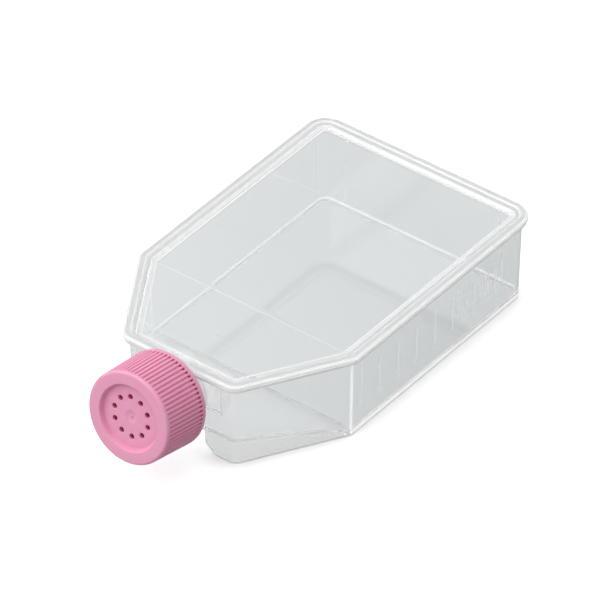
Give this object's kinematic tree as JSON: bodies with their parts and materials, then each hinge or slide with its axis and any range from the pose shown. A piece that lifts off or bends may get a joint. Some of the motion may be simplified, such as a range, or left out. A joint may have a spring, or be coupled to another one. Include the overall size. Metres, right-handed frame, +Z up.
{
  "type": "cell culture flask",
  "caption": "Clear low rectangular culture flask with slanted shoulders, canted threaded neck and a ribbed vent screw cap, lying on its growth surface.",
  "frame": {"origin": "under the middle of the whole flask, cap included, on the surface that the growth side rests on", "axes": "+X across the flask towards the graduated wall, +Y along it from the cap to the closed back end, +Z up through the top plate"},
  "size_m": [0.09, 0.163, 0.0428],
  "materials": {
    "clear_polystyrene": "water-clear injection moulded polystyrene, polished",
    "pink_polyethylene": "pink high-density polyethylene, satin moulded",
    "filter_film": "white microporous film"
  },
  "bodies": {
    "flask": {"flask_body": "clear_polystyrene", "top_plate": "clear_polystyrene"},
    "cap_lifter": {"vent_membrane": "filter_film"},
    "cap": {"vent_cap": "pink_polyethylene"}
  },
  "joints": [
    {"name": "cap_lift", "type": "slide", "parent": "flask", "child": "cap_lifter", "axis": [0, -0.9836, 0.1805], "range_m": [0, 0.0086]},
    {"name": "cap_turn", "type": "hinge", "parent": "cap_lifter", "child": "cap", "pos_m": [0, -0.05352, 0.0223], "axis": [0, -0.9836, 0.1805], "range_deg": [0, 720]}
  ],
  "couplings": [
    {"joint": "cap_lift", "follows": "cap_turn", "m_per_rad": 0.00066845}
  ]
}
